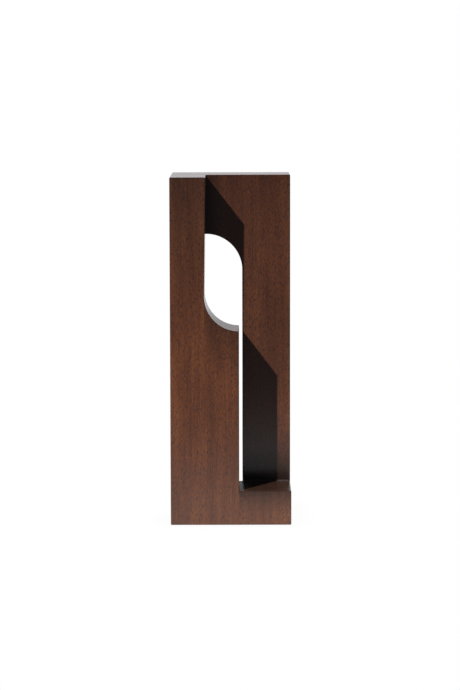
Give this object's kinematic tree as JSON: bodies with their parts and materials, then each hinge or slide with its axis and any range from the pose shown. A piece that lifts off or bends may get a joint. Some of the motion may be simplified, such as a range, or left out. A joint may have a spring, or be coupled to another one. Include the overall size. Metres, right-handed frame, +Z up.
{
  "type": "headrest",
  "caption": "Upright wooden headrest block of two thick L-shaped boards glued face to face, with a cove in each and an open window between them.",
  "frame": {"origin": "centre of the base, on the surface that the block stands on", "axes": "+X to the right, +Y to the rear board, +Z up along the height"},
  "size_m": [0.12, 0.12, 0.3456],
  "materials": {
    "front_wood": "reddish-brown stained mahogany, satin lacquer",
    "rear_wood": "reddish-brown stained mahogany, slightly darker, satin lacquer",
    "dowel_beech": "bare fluted beech"
  },
  "bodies": {
    "root": {"front_board": "front_wood", "rear_board": "rear_wood", "top_dowel_1": "dowel_beech", "top_dowel_2": "dowel_beech", "foot_dowel_1": "dowel_beech", "foot_dowel_2": "dowel_beech"}
  },
  "joints": []
}
